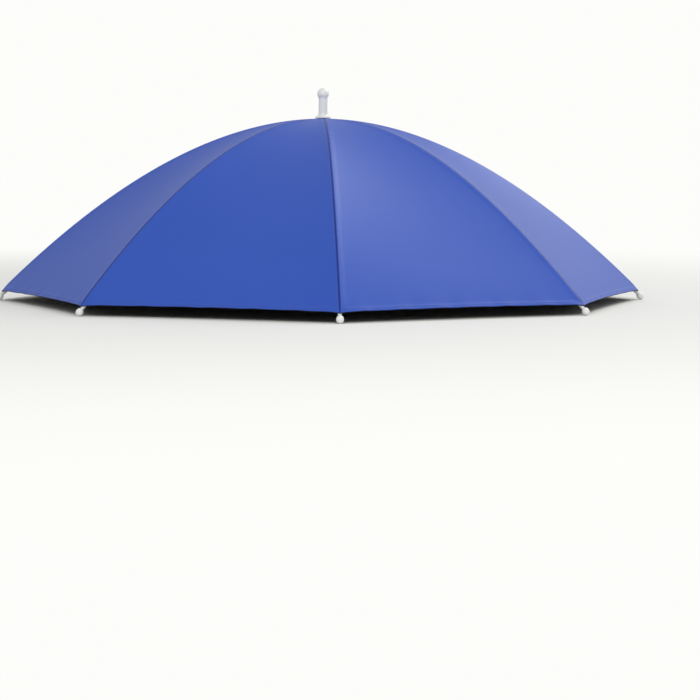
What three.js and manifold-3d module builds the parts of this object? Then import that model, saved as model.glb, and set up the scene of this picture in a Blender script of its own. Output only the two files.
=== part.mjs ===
// An umbrella hat, open: eight cloth panels on eight thin steel ribs, with an elastic headband under them.
// Millimetres, +Z up, with the front rib along -Y. The origin is on the floor under the hat's middle:
// the eight rib tips rest on it. The pieces are worked out from the plane of the cloth's corners, and the
// whole hat is lifted onto its tips at the end.
import * as THREE from "three";
import { mergeVertices } from "three/addons/utils/BufferGeometryUtils.js";
import Module from "manifold-3d";

const wasm = await Module();
wasm.setup();

// Canopy
const panelCount = 8;
const canopyRadius = 330; // from the middle out to the cloth's corners
const canopyHeight = 176; // from the corners up to the cloth's middle
const ribFullness = 0.15; // how much fuller than a parabola the ribs are bent
const clothThickness = 1;
const panelSag = 5.5; // the deepest that the cloth sinks between two ribs
const hemCut = 2.5; // how far up the panel the hem curves between two corners

// Clearances
const fitGap = 0.3; // between pieces that touch on the real hat
const seamClearance = 0.55; // between the cloth and the sleeve of a rib tip

// Ribs and their tips
const ribWidth = 1.8;
const ribHeight = 1.5;
const tipSleeveWall = 0.78;
const tipSleeveLength = 8.5;
const tipSocketDepth = 5;
const tipNeckDiameter = 3.2;
const tipNeckLength = 1.5;
const tipBallDiameter = 7;
const tipBallLength = 8;

// Middle of the frame
const postDiameter = 6;
const hubDiameter = 20;
const hubHeight = 6;
const runnerDiameter = 19;
const runnerHeight = 9;
const runnerDrop = 24; // from the cloth's middle down to the runner
const slotDepth = 4; // of the slots that hold the ribs and the stretchers
const stretcherRadius = 106; // from the middle out to where a stretcher holds its rib
const stretcherWidth = 1.8;
const stretcherHeight = 2.4;
const forkLength = 7;
const forkWall = 0.8;

// Finial, from the cloth up
const finialHeight = 31;
const finialBallDiameter = 12;
const finialNeckDiameter = 9;
const finialBaseDiameter = 16;
const finialBaseHeight = 2;
const finialBoreDepth = 16;

// Headband, and the legs that carry it
const bandHalfWidth = 80;
const bandHalfLength = 98;
const bandSquareness = 2.5; // 2 is an ellipse, more is squarer
const bandHeight = 18.5;
const bandThickness = 1.5;
const bandLift = 33; // from the cloth's corners up to the band's lower edge
const legAzimuth = THREE.MathUtils.degToRad(42); // from the front, and from the back, to each leg
const legThickness = 1.6;
const legTopWidth = 6.5;
const legFootWidth = 10;
const plateDiameter = 30;
const plateHeight = 4;
const plateDrop = 38; // from the cloth's middle down to the plate
const clipWidth = 13;
const clipWall = 1.4;
const clipTopHeight = 5;
const clipSocketDepth = 3;
const clipClearance = 0.6; // around the band, which curves through its clips

// How the cloth sinks between two ribs: at each share of the way out, a share of panelSag
const sagRows = [
  { out: 0, sag: 0 },
  { out: 0.2, sag: 0.3 },
  { out: 0.4, sag: 0.73 },
  { out: 0.6, sag: 1 },
  { out: 0.8, sag: 0.85 },
  { out: 1, sag: 0.25 },
];
const sagCurve = new THREE.SplineCurve(
  sagRows.map((row) => new THREE.Vector2(row.out, row.sag)),
);

// The line of a leg: at shares of the height from its foot to its top, how far out it lies, as a share of
// its foot's distance from the middle. Above the rows it goes straight in to the plate.
const legRows = [
  { up: 0.98, out: 0.5 },
  { up: 0.87, out: 0.83 },
  { up: 0.68, out: 1.02 },
  { up: 0.46, out: 1.09 },
  { up: 0.26, out: 1.07 },
  { up: 0.12, out: 1.01 },
  { up: 0.05, out: 1 },
  { up: 0, out: 1 },
];

// Fineness of the meshes
const stepsOut = 14; // from the middle of the cloth to its hem
const stepsAcross = 8; // across one panel
const ribSteps = 14;
const legSteps = 24;
const roundSides = 16;
const tipSides = 12;
const arcSteps = 8; // along the rounded end of a finial or tip
const bandSteps = 64;

const halfPanel = Math.PI / panelCount;
const hemPower = 6; // keeps the hem's curve to the outer part of the panel
const rowPower = 1.3; // sets the cloth's rows closer together near the middle

// Places that more than one piece follows
const socketRadius = Math.hypot(ribWidth, ribHeight) / 2 + fitGap;
const sleeveRadius = socketRadius + tipSleeveWall;
const ribDepth = clothThickness + seamClearance + sleeveRadius; // of a rib's middle, below the cloth's face
const postBore = postDiameter / 2 + fitGap;
const bandMiddle = bandLift + bandHeight / 2;

const clothMaterial = new THREE.MeshStandardMaterial({
  color: 0x3f5fb8,
  roughness: 0.7,
  side: THREE.DoubleSide,
});
const steelMaterial = new THREE.MeshStandardMaterial({ color: 0x2b2b2d, roughness: 0.4, metalness: 0.9 });
const whiteMaterial = new THREE.MeshStandardMaterial({ color: 0xececea, roughness: 0.4 });
const darkMaterial = new THREE.MeshStandardMaterial({ color: 0x1d1e1f, roughness: 0.6 });
const greyMaterial = new THREE.MeshStandardMaterial({ color: 0x4a4d50, roughness: 0.5 });
const elasticMaterial = new THREE.MeshStandardMaterial({ color: 0x16181a, roughness: 0.9 });

const hat = new THREE.Group();

// Adds a named mesh to a group
function addMesh(name, geometry, material, group) {
  const mesh = new THREE.Mesh(geometry, material);
  mesh.name = name;
  group.add(mesh);
  return mesh;
}

// A group turned so that its +X points out from the middle at an azimuth, counted from the front
function spokeAt(azimuth) {
  const spoke = new THREE.Group();
  spoke.rotation.z = azimuth - Math.PI / 2;
  hat.add(spoke);
  return spoke;
}

// A geometry as a solid that can be joined and cut, and back again
function solidOf(geometry) {
  const bare = geometry.clone();
  bare.deleteAttribute("normal");
  bare.deleteAttribute("uv");
  const merged = mergeVertices(bare);
  return new wasm.Manifold(
    new wasm.Mesh({
      numProp: 3,
      vertProperties: merged.attributes.position.array,
      triVerts: new Uint32Array(merged.index.array),
    }),
  );
}

function geometryOf(solid) {
  const mesh = solid.getMesh();
  const geometry = new THREE.BufferGeometry();
  geometry.setAttribute("position", new THREE.BufferAttribute(mesh.vertProperties, 3));
  geometry.setIndex(new THREE.BufferAttribute(mesh.triVerts, 1));
  geometry.computeVertexNormals();
  return geometry;
}

// The curve of a rib: how high the cloth lies above its corners at a share of the way out, and how steeply
function clothHeight(out) {
  return canopyHeight * (1 - out * out * (1 + ribFullness * (1 - out)));
}

function clothSlope(out) {
  const steepness = 2 * out * (1 + ribFullness * (1 - out)) - ribFullness * out * out;
  return Math.atan((canopyHeight / canopyRadius) * steepness);
}

const endSlope = clothSlope(1);

// The line of a rib's middle, in the plane of x outwards and y up, between two shares of the way out
class RibLine extends THREE.Curve {
  constructor(from, to) {
    super();
    this.from = from;
    this.to = to;
  }

  getPoint(along, target = new THREE.Vector2()) {
    const out = THREE.MathUtils.lerp(this.from, this.to, along);
    const slope = clothSlope(out);
    return target.set(
      out * canopyRadius - ribDepth * Math.sin(slope),
      clothHeight(out) - ribDepth * Math.cos(slope),
    );
  }
}

// A point of the cloth's outer face, or a depth below it. Across runs from -1 at one rib to 1 at the next.
function clothPoint(panel, out, across, depth) {
  const slope = clothSlope(out);
  const between = 1 - across * across;
  const sink = depth + panelSag * sagCurve.getPoint(out).y * between;
  const rise = hemCut * out ** hemPower * between;
  const radius = out * canopyRadius;
  const outwards = radius * Math.cos(halfPanel) - sink * Math.sin(slope) - rise * Math.cos(slope);
  const sideways = across * radius * Math.sin(halfPanel);
  const up = clothHeight(out) - sink * Math.cos(slope) + rise * Math.sin(slope);
  return new THREE.Vector3(outwards, sideways, up).applyAxisAngle(
    new THREE.Vector3(0, 0, 1),
    (2 * panel + 1) * halfPanel - Math.PI / 2,
  );
}

// The canopy: an outer and an inner face of one sheet, joined along the hem and round the post
function canopyGeometry() {
  const holeShare = postBore / Math.cos(halfPanel) / canopyRadius;
  const columns = panelCount * stepsAcross;
  const points = [];
  for (let column = 0; column < columns; column++) {
    const panel = Math.floor(column / stepsAcross);
    const across = (2 * (column % stepsAcross)) / stepsAcross - 1;
    for (const depth of [0, clothThickness])
      for (let row = 0; row <= stepsOut; row++) {
        const out = THREE.MathUtils.lerp(holeShare, 1, (row / stepsOut) ** rowPower);
        points.push(clothPoint(panel, out, across, depth));
      }
  }
  const rows = stepsOut + 1;
  const at = (column, face, row) => ((column % columns) * 2 + face) * rows + row;
  const index = [];
  const quad = (a, b, c, d) => index.push(a, b, c, a, c, d);
  for (let column = 0; column < columns; column++) {
    const next = column + 1;
    for (let row = 0; row < stepsOut; row++) {
      quad(at(column, 0, row), at(column, 0, row + 1), at(next, 0, row + 1), at(next, 0, row));
      quad(at(column, 1, row), at(next, 1, row), at(next, 1, row + 1), at(column, 1, row + 1));
    }
    quad(at(column, 0, stepsOut), at(column, 1, stepsOut), at(next, 1, stepsOut), at(next, 0, stepsOut));
    quad(at(column, 0, 0), at(next, 0, 0), at(next, 1, 0), at(column, 1, 0));
  }
  const geometry = new THREE.BufferGeometry().setFromPoints(points);
  geometry.setIndex(index);
  geometry.computeVertexNormals();
  return geometry;
}

// A flat bar bent along a curve in the plane of x outwards and y up, which may widen and twist on its way
function bentBar(curve, steps, thickness, startWidth, endWidth, twist = 0) {
  const bar = new THREE.BoxGeometry(1, 1, 1, steps, 1, 1);
  const place = bar.getAttribute("position");
  for (let i = 0; i < place.count; i++) {
    const along = place.getX(i) + 0.5;
    const point = curve.getPoint(along);
    const tangent = curve.getTangent(along);
    const turn = twist * along * along;
    const lift = place.getY(i) * thickness;
    const side = place.getZ(i) * THREE.MathUtils.lerp(startWidth, endWidth, along);
    const up = lift * Math.cos(turn) - side * Math.sin(turn);
    const across = lift * Math.sin(turn) + side * Math.cos(turn);
    place.setXYZ(i, point.x - tangent.y * up, point.y + tangent.x * up, across);
  }
  return bar.rotateX(Math.PI / 2);
}

// A round disc with a bore for the post and slots in its rim, from its top down
function slottedDisc(diameter, height, slotAzimuths, slotWidth) {
  const disc = new THREE.CylinderGeometry(diameter / 2, diameter / 2, height, 2 * roundSides);
  const bore = new THREE.CylinderGeometry(postBore, postBore, 2 * height, roundSides);
  let solid = solidOf(disc.rotateX(Math.PI / 2)).subtract(solidOf(bore.rotateX(Math.PI / 2)));
  for (const azimuth of slotAzimuths) {
    const slot = new THREE.BoxGeometry(diameter, slotWidth, 2 * height);
    slot.translate(diameter - slotDepth, 0, 0).rotateZ(azimuth - Math.PI / 2);
    solid = solid.subtract(solidOf(slot));
  }
  return geometryOf(solid).translate(0, 0, -height / 2);
}

// A turned piece with its axis up, from the radius and height of each corner of its profile
function turned(profile, sides) {
  const points = profile.map(([radius, height]) => new THREE.Vector2(radius, height));
  return new THREE.LatheGeometry(points, sides).rotateX(Math.PI / 2);
}

// The rounded end of a turned profile, from its neck up to the axis
function roundEnd(neckRadius, radius, halfLength, middle) {
  const start = Math.asin(neckRadius / radius);
  const profile = [];
  for (let step = 0; step < arcSteps; step++) {
    const turn = THREE.MathUtils.lerp(start, Math.PI, step / arcSteps);
    profile.push([radius * Math.sin(turn), middle - halfLength * Math.cos(turn)]);
  }
  profile.push([0, middle + halfLength]);
  return profile;
}

// The finial: a ball on a neck, with a blind bore for the post
function finialGeometry() {
  const ballRadius = finialBallDiameter / 2;
  const neckRadius = finialNeckDiameter / 2;
  const profile = [
    [0, finialBoreDepth],
    [postBore, finialBoreDepth],
    [postBore, 0],
    [finialBaseDiameter / 2, 0],
    [finialBaseDiameter / 2, finialBaseHeight / 2],
    [neckRadius, finialBaseHeight + neckRadius / 2],
    ...roundEnd(neckRadius, ballRadius, ballRadius, finialHeight - ballRadius),
  ];
  return turned(profile, roundSides);
}

// A rib tip: a sleeve over the rib's end, a neck at the cloth's corner, and a ball beyond it
function tipGeometry() {
  const ballRadius = tipBallDiameter / 2;
  const neckRadius = tipNeckDiameter / 2;
  const halfBall = tipBallLength / 2;
  const neckAngle = Math.asin(neckRadius / ballRadius);
  const profile = [
    [0, tipSocketDepth - tipSleeveLength],
    [socketRadius, tipSocketDepth - tipSleeveLength],
    [socketRadius, -tipSleeveLength],
    [sleeveRadius, -tipSleeveLength],
    [neckRadius, 0],
    ...roundEnd(neckRadius, ballRadius, halfBall, tipNeckLength + halfBall * Math.cos(neckAngle)),
  ];
  return turned(profile, tipSides).rotateY(Math.PI / 2);
}

// A stretcher: a bar out of the runner, ending in a fork around the rib
function stretcherGeometry() {
  const share = stretcherRadius / canopyRadius;
  const slope = clothSlope(share);
  const held = new RibLine(share, 1).getPoint(0);
  const forkWidth = ribWidth + 2 * (fitGap + forkWall);
  const below = ribHeight / 2 + fitGap;
  const forkHeight = ribHeight + fitGap + 2 * forkWall;
  const fork = new THREE.BoxGeometry(forkLength, forkWidth, forkHeight);
  fork.translate(0, 0, forkHeight / 2 - below - 2 * forkWall);
  const channel = new THREE.BoxGeometry(2 * forkLength, ribWidth + 2 * fitGap, 2 * forkHeight);
  channel.translate(0, 0, forkHeight - below);
  const turnedFork = solidOf(fork.rotateY(slope)).subtract(solidOf(channel.rotateY(slope)));
  const seat = below + 2 * forkWall;
  const line = new THREE.LineCurve(
    new THREE.Vector2(
      runnerDiameter / 2 - slotDepth + fitGap,
      canopyHeight - runnerDrop - runnerHeight / 2,
    ),
    new THREE.Vector2(
      held.x - seat * Math.sin(slope) + forkWall,
      held.y - seat * Math.cos(slope) + forkWall / 2 - stretcherHeight / 2,
    ),
  );
  const bar = bentBar(line, 1, stretcherHeight, stretcherWidth, stretcherWidth);
  return geometryOf(turnedFork.translate([held.x, 0, held.y]).add(solidOf(bar)));
}

// The headband's outline at an azimuth, a distance inside its outer face
function bandRadius(azimuth, inside) {
  const across = Math.abs(Math.sin(azimuth) / (bandHalfWidth - inside)) ** bandSquareness;
  const along = Math.abs(Math.cos(azimuth) / (bandHalfLength - inside)) ** bandSquareness;
  return (across + along) ** (-1 / bandSquareness);
}

function bandPoint(azimuth, inside) {
  const radius = bandRadius(azimuth, inside);
  return new THREE.Vector2(radius * Math.sin(azimuth), -radius * Math.cos(azimuth));
}

// The azimuth that the headband faces at a point of its outline
function bandFacing(azimuth) {
  const point = bandPoint(azimuth, bandThickness / 2);
  const power = bandSquareness - 1;
  const x = Math.sign(point.x) * (Math.abs(point.x) ** power / bandHalfWidth ** bandSquareness);
  const y = Math.sign(point.y) * (Math.abs(point.y) ** power / bandHalfLength ** bandSquareness);
  return Math.atan2(x, -y);
}

function headbandGeometry() {
  const ring = (inside) =>
    Array.from({ length: bandSteps }, (_, step) =>
      bandPoint((2 * Math.PI * step) / bandSteps, inside),
    );
  const outline = new THREE.Shape(ring(0));
  outline.holes.push(new THREE.Path(ring(bandThickness)));
  return new THREE.ExtrudeGeometry(outline, { depth: bandHeight, bevelEnabled: false });
}

const clipDepth = bandThickness + 2 * (clipClearance + clipWall); // from its inner to its outer face
const clipBottom = -bandHeight / 2 - clipClearance - clipWall;
const clipTop = bandHeight / 2 + clipClearance + clipTopHeight;

// A clip, around the middle of the band: a loop for the band below a socket for the leg
function clipGeometry() {
  const block = new THREE.BoxGeometry(clipDepth, clipWidth, clipTop - clipBottom);
  block.translate(0, 0, (clipTop + clipBottom) / 2);
  const loop = new THREE.BoxGeometry(
    bandThickness + 2 * clipClearance,
    2 * clipWidth,
    bandHeight + 2 * clipClearance,
  );
  const socket = new THREE.BoxGeometry(
    legThickness + 2 * fitGap,
    legFootWidth + 2 * fitGap,
    2 * clipSocketDepth,
  );
  socket.translate(0, 0, clipTop);
  return geometryOf(solidOf(block).subtract(solidOf(loop)).subtract(solidOf(socket)));
}

// A leg: a flat strip out of the plate, over the head and down into its clip
function legGeometry(azimuth) {
  const foot = bandRadius(azimuth, bandThickness / 2);
  const top = canopyHeight - plateDrop - plateHeight / 2;
  const socketFloor = bandMiddle + clipTop - clipSocketDepth;
  const bottom = socketFloor + fitGap;
  const curve = new THREE.SplineCurve([
    new THREE.Vector2(plateDiameter / 2 - slotDepth + fitGap, top),
    ...legRows.map((row) => new THREE.Vector2(foot * row.out, THREE.MathUtils.lerp(bottom, top, row.up))),
  ]);
  const twist = bandFacing(azimuth) - azimuth;
  return bentBar(curve, legSteps, legThickness, legTopWidth, legFootWidth, -twist);
}

addMesh("canopy", canopyGeometry(), clothMaterial, hat);

const finial = addMesh("finial", finialGeometry(), whiteMaterial, hat);
finial.position.z = canopyHeight + fitGap;

const postTop = canopyHeight + finialBoreDepth;
const postBottom = canopyHeight - plateDrop - plateHeight;
const postLength = postTop - postBottom;
const postShape = new THREE.CylinderGeometry(postDiameter / 2, postDiameter / 2, postLength, roundSides);
const post = addMesh("post", postShape.rotateX(Math.PI / 2), steelMaterial, hat);
post.position.z = (postTop + postBottom) / 2;

const ribAzimuths = Array.from({ length: panelCount }, (_, i) => 2 * i * halfPanel);
const hubReach = hubDiameter / 2 / Math.cos(halfPanel) / canopyRadius;
const hubTop = clothPoint(0, hubReach, 0, clothThickness).z - fitGap;
const hubShape = slottedDisc(hubDiameter, hubHeight, ribAzimuths, ribWidth + 2 * fitGap);
addMesh("hub", hubShape, darkMaterial, hat).position.z = hubTop;

const runnerShape = slottedDisc(runnerDiameter, runnerHeight, ribAzimuths, stretcherWidth + 2 * fitGap);
addMesh("runner", runnerShape, darkMaterial, hat).position.z = canopyHeight - runnerDrop;

const ribStart = (hubDiameter / 2 - slotDepth + fitGap) / canopyRadius;
const ribEnd = 1 - ((tipSleeveLength - tipSocketDepth + fitGap) * Math.cos(endSlope)) / canopyRadius;
const ribLine = new RibLine(ribStart, ribEnd);
const lastPoint = new RibLine(1, 1).getPoint(0);

ribAzimuths.forEach((azimuth, i) => {
  const spoke = spokeAt(azimuth);
  const number = i + 1;
  addMesh("rib_" + number, bentBar(ribLine, ribSteps, ribHeight, ribWidth, ribWidth), steelMaterial, spoke);
  addMesh("stretcher_" + number, stretcherGeometry(), steelMaterial, spoke);
  const tip = addMesh("rib_tip_" + number, tipGeometry(), whiteMaterial, spoke);
  tip.position.set(lastPoint.x, 0, lastPoint.y);
  tip.rotation.y = endSlope;
});

const legAzimuths = [-legAzimuth, legAzimuth, Math.PI - legAzimuth, legAzimuth - Math.PI];
const plateShape = slottedDisc(plateDiameter, plateHeight, legAzimuths, legTopWidth + 2 * fitGap);
addMesh("crown_plate", plateShape, darkMaterial, hat).position.z = canopyHeight - plateDrop;

legAzimuths.forEach((azimuth, i) => {
  const number = i + 1;
  addMesh("leg_" + number, legGeometry(azimuth), darkMaterial, spokeAt(azimuth));
  const clip = addMesh("clip_" + number, clipGeometry(), greyMaterial, hat);
  const middle = bandPoint(azimuth, bandThickness / 2);
  clip.position.set(middle.x, middle.y, bandMiddle);
  clip.rotation.z = bandFacing(azimuth) - Math.PI / 2;
});

addMesh("headband", headbandGeometry(), elasticMaterial, hat).position.z = bandLift;

hat.position.z = -new THREE.Box3().setFromObject(hat, true).min.z;

export default hat;
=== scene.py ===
# %% [markdown]
# An umbrella hat is a small eight-ribbed umbrella that is worn on an elastic band. Its hard parts and its
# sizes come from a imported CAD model. This script dresses that model: each piece is made again with the
# softness, seams, edges and finish that the CAD solids leave out. The hat stands open on its eight rib
# tips, as it would on a table.

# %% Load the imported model
import math

import bmesh
import bpy
from mathutils import Matrix, Vector


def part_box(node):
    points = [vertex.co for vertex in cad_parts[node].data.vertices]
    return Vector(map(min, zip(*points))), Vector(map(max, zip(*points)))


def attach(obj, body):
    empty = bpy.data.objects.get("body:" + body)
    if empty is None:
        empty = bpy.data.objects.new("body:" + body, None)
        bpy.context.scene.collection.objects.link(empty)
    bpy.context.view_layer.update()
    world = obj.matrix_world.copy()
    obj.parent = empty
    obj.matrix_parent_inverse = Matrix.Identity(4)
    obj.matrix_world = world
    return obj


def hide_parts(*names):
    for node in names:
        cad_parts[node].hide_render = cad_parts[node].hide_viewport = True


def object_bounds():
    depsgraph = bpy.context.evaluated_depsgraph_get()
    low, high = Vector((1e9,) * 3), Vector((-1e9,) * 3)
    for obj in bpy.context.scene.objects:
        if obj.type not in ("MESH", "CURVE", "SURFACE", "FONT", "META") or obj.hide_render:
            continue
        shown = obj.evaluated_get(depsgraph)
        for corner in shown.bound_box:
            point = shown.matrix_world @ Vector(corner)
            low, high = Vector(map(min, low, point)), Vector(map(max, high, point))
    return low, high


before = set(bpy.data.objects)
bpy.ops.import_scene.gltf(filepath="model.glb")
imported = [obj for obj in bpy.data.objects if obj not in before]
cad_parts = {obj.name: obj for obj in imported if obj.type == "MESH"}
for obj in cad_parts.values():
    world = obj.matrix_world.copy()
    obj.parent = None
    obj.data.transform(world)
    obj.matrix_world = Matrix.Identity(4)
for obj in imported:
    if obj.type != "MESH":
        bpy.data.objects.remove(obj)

cad_low, cad_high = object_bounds()
print("CAD box", [round(x, 4) for x in cad_low], [round(x, 4) for x in cad_high])

# %% [markdown]
# The camera comes first, because every later choice is judged through it. It keeps the photograph's
# lens, distance and turn, and stands a little above the floor, since the hat now rests on one. A long
# lens of about 109 mm keeps the rim nearly flat. The view is worked out as a turn and an offset, both
# counted from the middle of the rim, and that is turned round into a camera in the room.

# %% Camera
MM = 0.001
canopy_radius = 330 * MM
canopy_height = 176 * MM
finial_height = 31 * MM
fit_gap = 0.3 * MM
rim_height = cad_high.z - finial_height - fit_gap - canopy_height
photo_focal = 2125.0
photo_width = 700.0
view_pitch = math.radians(5.0)
view_roll = math.radians(0.15)
view_yaw = math.radians(3.36)
view_offset = Vector((-0.0852, 6.65, 0.1875)) * canopy_radius

view_turn = (
    Matrix.Rotation(view_pitch, 3, "X")
    @ Matrix.Rotation(view_roll, 3, "Y")
    @ Matrix.Rotation(view_yaw, 3, "Z")
)
camera_data = bpy.data.cameras.new("camera")
camera_data.sensor_width = 36.0
camera_data.lens = photo_focal / photo_width * camera_data.sensor_width
camera = bpy.data.objects.new("camera", camera_data)
bpy.context.collection.objects.link(camera)
camera_place = Vector((0, 0, rim_height)) - view_turn.transposed() @ view_offset
camera_turn = view_turn.transposed() @ Matrix.Rotation(math.pi / 2, 3, "X")
camera.matrix_world = Matrix.Translation(camera_place) @ camera_turn.to_4x4()
bpy.context.scene.camera = camera
print("camera at", [round(x, 3) for x in camera_place], "lens", round(camera_data.lens, 1))

# %% [markdown]
# The floor is one wide pale disc. Near the hat it is a plain matt surface that takes shadows. Further out
# it fades into a glow of the same colour as the room, so no horizon cuts through the picture. The fade
# follows Object coordinates, so it stays in place from every side.

# %% Floor
room_colour = (0.982, 0.985, 0.962, 1.0)
floor_radius = 30.0
fade_start = 0.45
fade_end = 1.5


def new_finish(name):
    """A material with nodes, and its shader."""
    material = bpy.data.materials.new(name)
    material.use_nodes = True
    return material, material.node_tree.nodes["Principled BSDF"]


def add_node(material, kind, **settings):
    made = material.node_tree.nodes.new(kind)
    for name, value in settings.items():
        setattr(made, name, value)
    return made


def set_inputs(made, **values):
    """Sets a node's sockets. A space in a socket's name is written as an underscore."""
    for name, value in values.items():
        made.inputs[name.replace("_", " ")].default_value = value


def join(material, source, target):
    material.node_tree.links.new(source, target)


floor_paint, floor_shader = new_finish("pale_floor")
set_inputs(floor_shader, Base_Color=(0.72, 0.72, 0.715, 1.0), Roughness=0.8)
glow = add_node(floor_paint, "ShaderNodeEmission")
set_inputs(glow, Color=room_colour, Strength=1.0)
floor_place = add_node(floor_paint, "ShaderNodeTexCoord")
floor_reach = add_node(floor_paint, "ShaderNodeVectorMath", operation="LENGTH")
floor_fade = add_node(floor_paint, "ShaderNodeMapRange", interpolation_type="SMOOTHSTEP")
set_inputs(floor_fade, From_Min=fade_start, From_Max=fade_end)
floor_mix = add_node(floor_paint, "ShaderNodeMixShader")
floor_end = floor_paint.node_tree.nodes["Material Output"]
join(floor_paint, floor_place.outputs["Object"], floor_reach.inputs[0])
join(floor_paint, floor_reach.outputs["Value"], floor_fade.inputs["Value"])
join(floor_paint, floor_fade.outputs["Result"], floor_mix.inputs[0])
join(floor_paint, floor_shader.outputs[0], floor_mix.inputs[1])
join(floor_paint, glow.outputs[0], floor_mix.inputs[2])
join(floor_paint, floor_mix.outputs[0], floor_end.inputs["Surface"])

floor_bm = bmesh.new()
bmesh.ops.create_circle(floor_bm, cap_ends=True, segments=96, radius=floor_radius)
floor_mesh = bpy.data.meshes.new("floor")
floor_bm.to_mesh(floor_mesh)
floor_bm.free()
floor_mesh.materials.append(floor_paint)
floor = bpy.data.objects.new("floor", floor_mesh)
bpy.context.collection.objects.link(floor)
print("floor of", len(floor_mesh.vertices), "points")

# %% [markdown]
# The room is an even glow without walls. The camera sees it nearly white, like the photograph's
# background. It lights the hat a third more weakly than that, so that the lamps can shape the cloth.

# %% Room
seen_strength = 1.0
lighting_strength = 0.68
world = bpy.data.worlds.new("room")
bpy.context.scene.world = world
world.use_nodes = True
room = world.node_tree.nodes["Background"]
set_inputs(room, Color=room_colour)
sight = add_node(world, "ShaderNodeLightPath")
room_glow = add_node(world, "ShaderNodeMapRange")
set_inputs(room_glow, To_Min=lighting_strength, To_Max=seen_strength)
join(world, sight.outputs["Is Camera Ray"], room_glow.inputs["Value"])
join(world, room_glow.outputs["Result"], room.inputs["Strength"])
bpy.context.scene.view_settings.view_transform = "Standard"
print("room lights at", lighting_strength)

# %% [markdown]
# The light is soft and comes from three places. The room itself glows evenly. A round lamp in front shows
# the blue of both front panels. A second lamp stands behind on the right, where only the right-hand panel
# mirrors it towards the camera, so that panel looks paler and greyer than the left one.

# %% Lights
lamp_target = Vector((0, 0, 0.1))
lamps = {
    # name: place, width, power, colour
    "front_lamp": ((0.0, -1.9, 1.3), 1.3, 19.0, (1.0, 0.99, 0.95)),
    "sheen_lamp": ((1.7, 1.4, 2.0), 1.6, 36.0, (1.0, 1.0, 0.97)),
}
for lamp_name, (place, width, power, colour) in lamps.items():
    lamp_data = bpy.data.lights.new(lamp_name, "AREA")
    lamp_data.shape = "DISK"
    lamp_data.size = width
    lamp_data.energy = power
    lamp_data.color = colour
    lamp = bpy.data.objects.new(lamp_name, lamp_data)
    bpy.context.collection.objects.link(lamp)
    lamp.location = place
    aim = lamp_target - Vector(place)
    lamp.rotation_euler = aim.to_track_quat("-Z", "Y").to_euler()
print(len(lamps), "lamps")

# %% [markdown]
# The cloth has a black rubbery coating inside. It is the simplest finish, so it comes first: two near
# blacks in soft clouds, and the weave that still shows through. The weave is two crossed waves that push
# the surface in and out. They follow the cloth's own UV map, in metres, so that the weave turns with each
# panel as the cut pieces do.

# %% Black coating
nylon_pitch = 0.4 * MM
wave_repeat = math.pi / 10  # how often Blender's wave comes back at a scale of 1


def cloth_weave(material, pitch, depth, shader):
    """Crossed threads as a bump, with the pitch and depth in metres."""
    place = add_node(material, "ShaderNodeUVMap", uv_map="cut")
    warp = add_node(material, "ShaderNodeTexWave", bands_direction="X")
    weft = add_node(material, "ShaderNodeTexWave", bands_direction="Y")
    crossing = add_node(material, "ShaderNodeMath", operation="ADD")
    bump = add_node(material, "ShaderNodeBump")
    for wave, thread in ((warp, 0), (weft, 1)):
        set_inputs(wave, Scale=wave_repeat / pitch, Distortion=0.4, Detail=1.0)
        join(material, place.outputs["UV"], wave.inputs["Vector"])
        join(material, wave.outputs["Fac"], crossing.inputs[thread])
    set_inputs(bump, Strength=0.35, Distance=depth)
    join(material, crossing.outputs[0], bump.inputs["Height"])
    join(material, bump.outputs["Normal"], shader.inputs["Normal"])
    return bump


def tone_range(material, pale, dark, size):
    """Two near colours in soft clouds of a size in metres."""
    place = add_node(material, "ShaderNodeTexCoord")
    cloud = add_node(material, "ShaderNodeTexNoise")
    set_inputs(cloud, Scale=1 / size, Detail=3.0, Roughness=0.55)
    mix = add_node(material, "ShaderNodeMix", data_type="RGBA")
    mix.inputs["A"].default_value = pale
    mix.inputs["B"].default_value = dark
    join(material, place.outputs["Object"], cloud.inputs["Vector"])
    join(material, cloud.outputs["Fac"], mix.inputs["Factor"])
    return mix.outputs["Result"]


black_coating, coating_shader = new_finish("black_coating")
set_inputs(coating_shader, Roughness=0.55, Specular_IOR_Level=0.18)
coating_tone = tone_range(black_coating, (0.0085, 0.0085, 0.0080, 1), (0.0065, 0.0065, 0.0061, 1), 0.05)
join(black_coating, coating_tone, coating_shader.inputs["Base Color"])
cloth_weave(black_coating, nylon_pitch, 0.015 * MM, coating_shader)
print(black_coating.name, "with", len(black_coating.node_tree.nodes), "nodes")

# %% [markdown]
# The outside is blue nylon taffeta, which is nearly smooth: a fine weave, a soft gloss, and a dark line
# where two gores are sewn together. That line is partly the sewn join's own darker colour and partly
# painted shade in the seam's groove. A number stored on each point of the cloth, its distance from the
# seam, tells the finish where that line is.

# %% Blue nylon
# painted shade: the seam line's dark blue is partly the sewn join and partly shade in its groove
seam_join_and_shade_colour = (0.001, 0.007, 0.12, 1)
seam_join_and_shade_width = 1.5 * MM


def near_seam(material, width):
    """1 on a seam, falling to 0 at a width from it."""
    stored = add_node(material, "ShaderNodeAttribute", attribute_name="seam_distance")
    falling = add_node(material, "ShaderNodeMapRange", interpolation_type="SMOOTHSTEP")
    set_inputs(falling, From_Min=0.0, From_Max=width, To_Min=1.0, To_Max=0.0)
    join(material, stored.outputs["Fac"], falling.inputs["Value"])
    return falling.outputs["Result"]


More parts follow.
